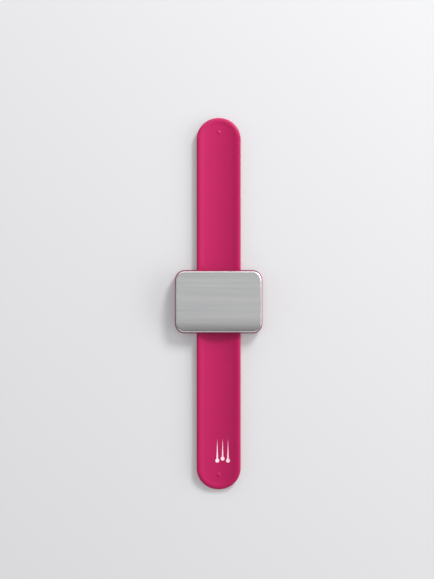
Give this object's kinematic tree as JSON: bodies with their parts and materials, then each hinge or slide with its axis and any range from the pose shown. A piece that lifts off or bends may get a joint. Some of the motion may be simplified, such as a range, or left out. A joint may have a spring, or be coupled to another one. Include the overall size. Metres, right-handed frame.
{
  "type": "wrist pin cushion",
  "caption": "Magnetic pin holder worn on the wrist: an arched steel plate on a tray, carried by a silicone slap band with a spring strip inside.",
  "frame": {"origin": "centre of the band on the surface it lies on, at its lowest line", "axes": "+X across the band, +Y along the band, +Z out of the steel plate's face"},
  "size_m": [0.0556, 0.236, 0.0101],
  "materials": {
    "band": "matte moulded silicone, hot pink",
    "tray": "matte moulded plastic, hot pink",
    "steel": "stainless steel, brushed across the band",
    "spring": "blued spring strip",
    "magnet": "nickel plate",
    "tape": "white foam tape"
  },
  "bodies": {
    "plate": {"plate_tray": "tray", "steel_plate": "steel", "plate_tape": "tape", "magnet_1": "magnet", "magnet_2": "magnet", "magnet_3": "magnet", "magnet_4": "magnet", "magnet_5": "magnet", "magnet_6": "magnet", "band_centre": "band", "strip_centre": "spring"},
    "upper_1": {"band_upper_1": "band", "strip_upper_1": "spring"},
    "upper_2": {"band_upper_2": "band", "strip_upper_2": "spring"},
    "upper_3": {"band_upper_3": "band", "strip_upper_3": "spring"},
    "upper_4": {"band_upper_4": "band", "strip_upper_4": "spring"},
    "upper_5": {"band_upper_5": "band", "strip_upper_5": "spring"},
    "upper_6": {"band_upper_6": "band", "strip_upper_6": "spring"},
    "upper_7": {"band_upper_7": "band", "strip_upper_7": "spring"},
    "upper_8": {"band_upper_8": "band", "strip_upper_8": "spring"},
    "upper_9": {"band_upper_9": "band", "strip_upper_9": "spring"},
    "upper_10": {"band_upper_10": "band", "strip_upper_10": "spring"},
    "lower_1": {"band_lower_1": "band", "strip_lower_1": "spring"},
    "lower_2": {"band_lower_2": "band", "strip_lower_2": "spring"},
    "lower_3": {"band_lower_3": "band", "strip_lower_3": "spring"},
    "lower_4": {"band_lower_4": "band", "strip_lower_4": "spring"},
    "lower_5": {"band_lower_5": "band", "strip_lower_5": "spring"},
    "lower_6": {"band_lower_6": "band", "strip_lower_6": "spring"},
    "lower_7": {"band_lower_7": "band", "strip_lower_7": "spring"},
    "lower_8": {"band_lower_8": "band", "strip_lower_8": "spring"},
    "lower_9": {"band_lower_9": "band", "strip_lower_9": "spring"},
    "lower_10": {"band_lower_10": "band", "strip_lower_10": "spring"}
  },
  "joints": [
    {"name": "upper_curl", "type": "hinge", "parent": "plate", "child": "upper_1", "pos_m": [0, 0.0244, 0], "axis": [-1, 0, 0], "range_deg": [0, 29.5]},
    {"name": "upper_curl_2", "type": "hinge", "parent": "upper_1", "child": "upper_2", "pos_m": [0, 0.03324, 0], "axis": [-1, 0, 0], "range_deg": [0, 24.77]},
    {"name": "upper_curl_3", "type": "hinge", "parent": "upper_2", "child": "upper_3", "pos_m": [0, 0.04209, 0], "axis": [-1, 0, 0], "range_deg": [0, 22.32]},
    {"name": "upper_curl_4", "type": "hinge", "parent": "upper_3", "child": "upper_4", "pos_m": [0, 0.05093, 0], "axis": [-1, 0, 0], "range_deg": [0, 20.34]},
    {"name": "upper_curl_5", "type": "hinge", "parent": "upper_4", "child": "upper_5", "pos_m": [0, 0.05978, 0], "axis": [-1, 0, 0], "range_deg": [0, 18.62]},
    {"name": "upper_curl_6", "type": "hinge", "parent": "upper_5", "child": "upper_6", "pos_m": [0, 0.06862, 0], "axis": [-1, 0, 0], "range_deg": [0, 17.06]},
    {"name": "upper_curl_7", "type": "hinge", "parent": "upper_6", "child": "upper_7", "pos_m": [0, 0.07747, 0], "axis": [-1, 0, 0], "range_deg": [0, 15.62]},
    {"name": "upper_curl_8", "type": "hinge", "parent": "upper_7", "child": "upper_8", "pos_m": [0, 0.08631, 0], "axis": [-1, 0, 0], "range_deg": [0, 14.28]},
    {"name": "upper_curl_9", "type": "hinge", "parent": "upper_8", "child": "upper_9", "pos_m": [0, 0.09516, 0], "axis": [-1, 0, 0], "range_deg": [0, 13.01]},
    {"name": "upper_curl_10", "type": "hinge", "parent": "upper_9", "child": "upper_10", "pos_m": [0, 0.104, 0], "axis": [-1, 0, 0], "range_deg": [0, 11.8]},
    {"name": "lower_curl", "type": "hinge", "parent": "plate", "child": "lower_1", "pos_m": [0, -0.0244, 0], "axis": [1, 0, 0], "range_deg": [0, 35]},
    {"name": "lower_curl_2", "type": "hinge", "parent": "lower_1", "child": "lower_2", "pos_m": [0, -0.03324, 0], "axis": [1, 0, 0], "range_deg": [0, 27.98]},
    {"name": "lower_curl_3", "type": "hinge", "parent": "lower_2", "child": "lower_3", "pos_m": [0, -0.04209, 0], "axis": [1, 0, 0], "range_deg": [0, 24.35]},
    {"name": "lower_curl_4", "type": "hinge", "parent": "lower_3", "child": "lower_4", "pos_m": [0, -0.05093, 0], "axis": [1, 0, 0], "range_deg": [0, 21.42]},
    {"name": "lower_curl_5", "type": "hinge", "parent": "lower_4", "child": "lower_5", "pos_m": [0, -0.05978, 0], "axis": [1, 0, 0], "range_deg": [0, 18.86]},
    {"name": "lower_curl_6", "type": "hinge", "parent": "lower_5", "child": "lower_6", "pos_m": [0, -0.06862, 0], "axis": [1, 0, 0], "range_deg": [0, 16.55]},
    {"name": "lower_curl_7", "type": "hinge", "parent": "lower_6", "child": "lower_7", "pos_m": [0, -0.07747, 0], "axis": [1, 0, 0], "range_deg": [0, 14.42]},
    {"name": "lower_curl_8", "type": "hinge", "parent": "lower_7", "child": "lower_8", "pos_m": [0, -0.08631, 0], "axis": [1, 0, 0], "range_deg": [0, 12.43]},
    {"name": "lower_curl_9", "type": "hinge", "parent": "lower_8", "child": "lower_9", "pos_m": [0, -0.09516, 0], "axis": [1, 0, 0], "range_deg": [0, 10.54]},
    {"name": "lower_curl_10", "type": "hinge", "parent": "lower_9", "child": "lower_10", "pos_m": [0, -0.104, 0], "axis": [1, 0, 0], "range_deg": [0, 8.75]}
  ],
  "couplings": [
    {"joint": "upper_curl_2", "follows": "upper_curl", "ratio": 0.8395},
    {"joint": "upper_curl_3", "follows": "upper_curl", "ratio": 0.7567},
    {"joint": "upper_curl_4", "follows": "upper_curl", "ratio": 0.6896},
    {"joint": "upper_curl_5", "follows": "upper_curl", "ratio": 0.6312},
    {"joint": "upper_curl_6", "follows": "upper_curl", "ratio": 0.5783},
    {"joint": "upper_curl_7", "follows": "upper_curl", "ratio": 0.5296},
    {"joint": "upper_curl_8", "follows": "upper_curl", "ratio": 0.484},
    {"joint": "upper_curl_9", "follows": "upper_curl", "ratio": 0.4409},
    {"joint": "upper_curl_10", "follows": "upper_curl", "ratio": 0.4},
    {"joint": "lower_curl_2", "follows": "lower_curl", "ratio": 0.7993},
    {"joint": "lower_curl_3", "follows": "lower_curl", "ratio": 0.6958},
    {"joint": "lower_curl_4", "follows": "lower_curl", "ratio": 0.612},
    {"joint": "lower_curl_5", "follows": "lower_curl", "ratio": 0.5389},
    {"joint": "lower_curl_6", "follows": "lower_curl", "ratio": 0.4729},
    {"joint": "lower_curl_7", "follows": "lower_curl", "ratio": 0.412},
    {"joint": "lower_curl_8", "follows": "lower_curl", "ratio": 0.355},
    {"joint": "lower_curl_9", "follows": "lower_curl", "ratio": 0.3012},
    {"joint": "lower_curl_10", "follows": "lower_curl", "ratio": 0.25}
  ]
}
